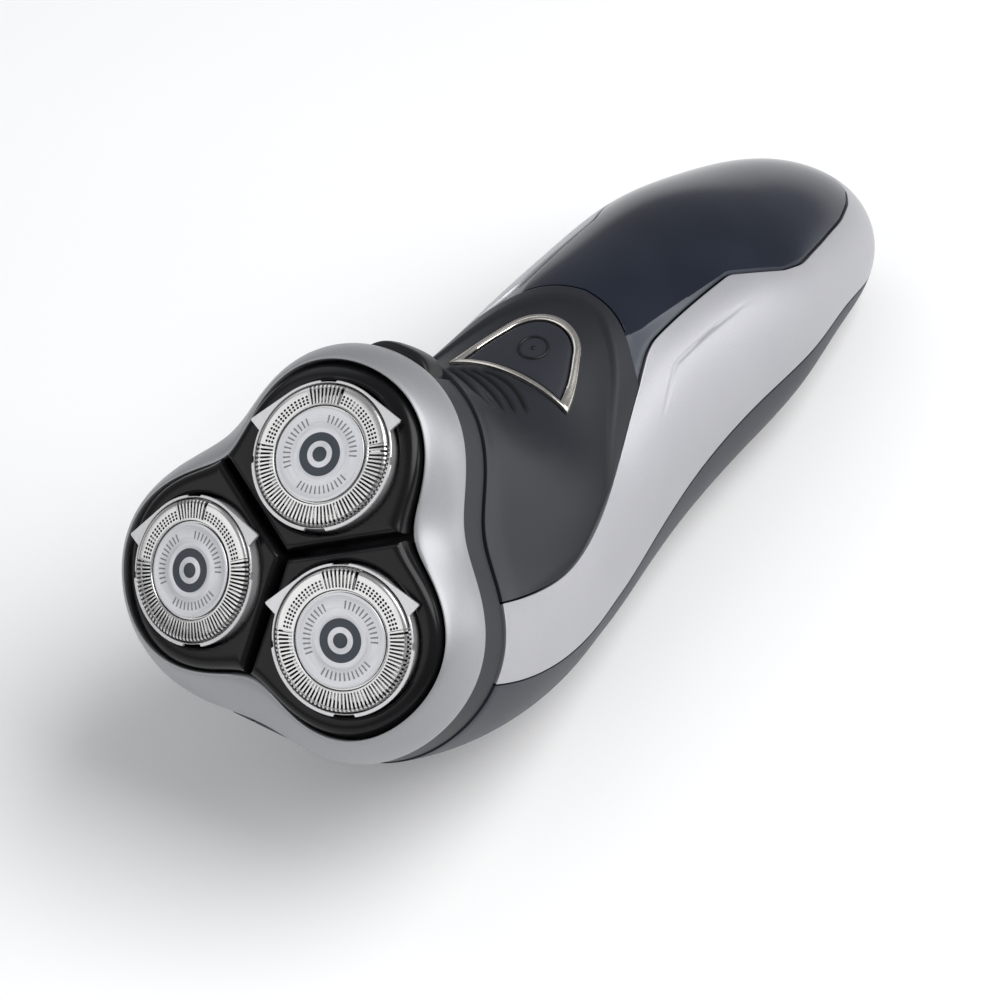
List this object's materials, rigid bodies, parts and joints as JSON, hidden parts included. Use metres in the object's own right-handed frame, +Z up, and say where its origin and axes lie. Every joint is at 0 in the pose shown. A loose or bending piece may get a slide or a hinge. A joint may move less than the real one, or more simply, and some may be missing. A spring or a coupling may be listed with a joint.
{
  "type": "electric shaver",
  "caption": "Cordless rotary shaver with floating round cutting heads on a hinged head unit, a curved handle with a thumb button, and a drive train, motor and cells inside.",
  "frame": {"origin": "middle of the footprint on the surface that the shaver lies on, under the middle of its overall box", "axes": "+Z up, +Y from the shaving head to the tail of the handle, +X to the right side when it is seen from the head; the thumb side with the power button faces up"},
  "size_m": [0.0624, 0.1698, 0.0812],
  "materials": {
    "satin_silver": "satin silver paint on plastic",
    "satin_ring": "satin silver paint on plastic",
    "dark_grey_plastic": "satin",
    "soft_black_rubber": "matt",
    "blue_black_gloss": "high gloss",
    "gloss_black_plastic": "gloss",
    "polished_steel": "polished",
    "satin_steel": "satin",
    "warm_chrome": "polished",
    "white_nylon": "moulded",
    "green_board": "satin",
    "cell_sleeve": "satin shrink sleeve",
    "motor_can": "satin"
  },
  "bodies": {
    "handle": {"grip_shell": "soft_black_rubber", "gloss_panel": "blue_black_gloss", "rear_shell": "dark_grey_plastic", "side_trim": "satin_silver", "button_bezel": "warm_chrome", "inner_frame": "dark_grey_plastic", "battery_cell_1": "cell_sleeve", "battery_cell_2": "cell_sleeve", "circuit_board": "green_board", "power_switch": "gloss_black_plastic", "charging_socket": "gloss_black_plastic", "charge_pin_1": "polished_steel", "charge_pin_2": "polished_steel", "motor": "motor_can", "motor_plate": "dark_grey_plastic", "gear_cover": "dark_grey_plastic", "cover_screw_1": "polished_steel", "cover_screw_2": "polished_steel", "cover_screw_3": "polished_steel", "hinge_bracket": "dark_grey_plastic", "head_hinge_pin": "polished_steel"},
    "head_unit": {"head_ring": "satin_ring", "hair_chamber": "dark_grey_plastic", "retaining_frame": "white_nylon"},
    "frame_lock": {"frame_lock": "dark_grey_plastic"},
    "release_button": {"head_release_button": "gloss_black_plastic"},
    "power_button": {"power_button": "soft_black_rubber"},
    "motor_rotor": {"motor_pinion": "polished_steel"},
    "pad_1": {"head_pad_1": "gloss_black_plastic"},
    "guard_1": {"guard_frame_1": "satin_steel", "guard_cap_1": "polished_steel", "guard_disc_1": "satin_steel"},
    "cutter_1": {"cutter_1": "polished_steel"},
    "drive_1": {"drive_gear_1": "white_nylon", "drive_shaft_1": "satin_steel"},
    "pad_2": {"head_pad_2": "gloss_black_plastic"},
    "guard_2": {"guard_frame_2": "satin_steel", "guard_cap_2": "polished_steel", "guard_disc_2": "satin_steel"},
    "cutter_2": {"cutter_2": "polished_steel"},
    "drive_2": {"drive_gear_2": "white_nylon", "drive_shaft_2": "satin_steel"},
    "pad_3": {"head_pad_3": "gloss_black_plastic"},
    "guard_3": {"guard_frame_3": "satin_steel", "guard_cap_3": "polished_steel", "guard_disc_3": "satin_steel"},
    "cutter_3": {"cutter_3": "polished_steel"},
    "drive_3": {"drive_gear_3": "white_nylon", "drive_shaft_3": "satin_steel"}
  },
  "joints": [
    {"name": "head_open", "type": "hinge", "parent": "handle", "child": "head_unit", "pos_m": [0, -0.07802, 0.03124], "axis": [1, 0, 0], "range_deg": [0, 95]},
    {"name": "lock_turn", "type": "hinge", "parent": "head_unit", "child": "frame_lock", "pos_m": [0, -0.06049, 0.05189], "axis": [0, -0.7071, 0.7071], "range_deg": [0, 90]},
    {"name": "release_press", "type": "slide", "parent": "handle", "child": "release_button", "axis": [0, -0.7071, -0.7071], "range_m": [0, 0.0012], "stiffness_N_per_m": 600, "springref_m": -0.0006},
    {"name": "power_press", "type": "slide", "parent": "handle", "child": "power_button", "axis": [0, 0, -1], "range_m": [0, 0.0008], "stiffness_N_per_m": 700, "springref_m": -0.0005},
    {"name": "motor_spin", "type": "hinge", "parent": "handle", "child": "motor_rotor", "pos_m": [0, -0.05511, 0.04651], "axis": [0, -0.7071, 0.7071], "continuous": true},
    {"name": "pad_tilt_1", "type": "hinge", "parent": "head_unit", "child": "pad_1", "pos_m": [0, -0.05763, 0.07038], "axis": [-1, 0, 0], "range_deg": [-2.5, 2.5], "stiffness_Nm_per_rad": 0.2},
    {"name": "guard_float_1", "type": "slide", "parent": "pad_1", "child": "guard_1", "axis": [0, 0.5878, -0.809], "range_m": [0, 0.0009], "stiffness_N_per_m": 500, "springref_m": -0.0008},
    {"name": "cutter_spin_1", "type": "hinge", "parent": "guard_1", "child": "cutter_1", "pos_m": [0, -0.06057, 0.07443], "axis": [0, -0.5878, 0.809], "continuous": true},
    {"name": "drive_spin_1", "type": "hinge", "parent": "handle", "child": "drive_1", "pos_m": [0, -0.06119, 0.07381], "axis": [0, -0.7071, 0.7071], "continuous": true},
    {"name": "pad_tilt_2", "type": "hinge", "parent": "head_unit", "child": "pad_2", "pos_m": [-0.01307, -0.07365, 0.05437], "axis": [0.5, -0.6124, -0.6124], "range_deg": [-2.5, 2.5], "stiffness_Nm_per_rad": 0.2},
    {"name": "guard_float_2", "type": "slide", "parent": "pad_2", "child": "guard_2", "axis": [0.1355, 0.7537, -0.6431], "range_m": [0, 0.0009], "stiffness_N_per_m": 500, "springref_m": -0.0008},
    {"name": "cutter_spin_2", "type": "hinge", "parent": "guard_2", "child": "cutter_2", "pos_m": [-0.01375, -0.07741, 0.05759], "axis": [-0.1355, -0.7537, 0.6431], "continuous": true},
    {"name": "drive_spin_2", "type": "hinge", "parent": "handle", "child": "drive_2", "pos_m": [-0.01299, -0.0771, 0.0579], "axis": [0, -0.7071, 0.7071], "continuous": true},
    {"name": "pad_tilt_3", "type": "hinge", "parent": "head_unit", "child": "pad_3", "pos_m": [0.01307, -0.07365, 0.05437], "axis": [0.5, 0.6124, 0.6124], "range_deg": [-2.5, 2.5], "stiffness_Nm_per_rad": 0.2},
    {"name": "guard_float_3", "type": "slide", "parent": "pad_3", "child": "guard_3", "axis": [-0.1355, 0.7537, -0.6431], "range_m": [0, 0.0009], "stiffness_N_per_m": 500, "springref_m": -0.0008},
    {"name": "cutter_spin_3", "type": "hinge", "parent": "guard_3", "child": "cutter_3", "pos_m": [0.01375, -0.07741, 0.05759], "axis": [0.1355, -0.7537, 0.6431], "continuous": true},
    {"name": "drive_spin_3", "type": "hinge", "parent": "handle", "child": "drive_3", "pos_m": [0.01299, -0.0771, 0.0579], "axis": [0, -0.7071, 0.7071], "continuous": true}
  ],
  "couplings": [
    {"joint": "motor_spin", "follows": "drive_spin_1", "ratio": -2.4444},
    {"joint": "cutter_spin_1", "follows": "drive_spin_1", "ratio": 1},
    {"joint": "drive_spin_2", "follows": "drive_spin_1", "ratio": 1},
    {"joint": "cutter_spin_2", "follows": "drive_spin_1", "ratio": 1},
    {"joint": "drive_spin_3", "follows": "drive_spin_1", "ratio": 1},
    {"joint": "cutter_spin_3", "follows": "drive_spin_1", "ratio": 1}
  ]
}
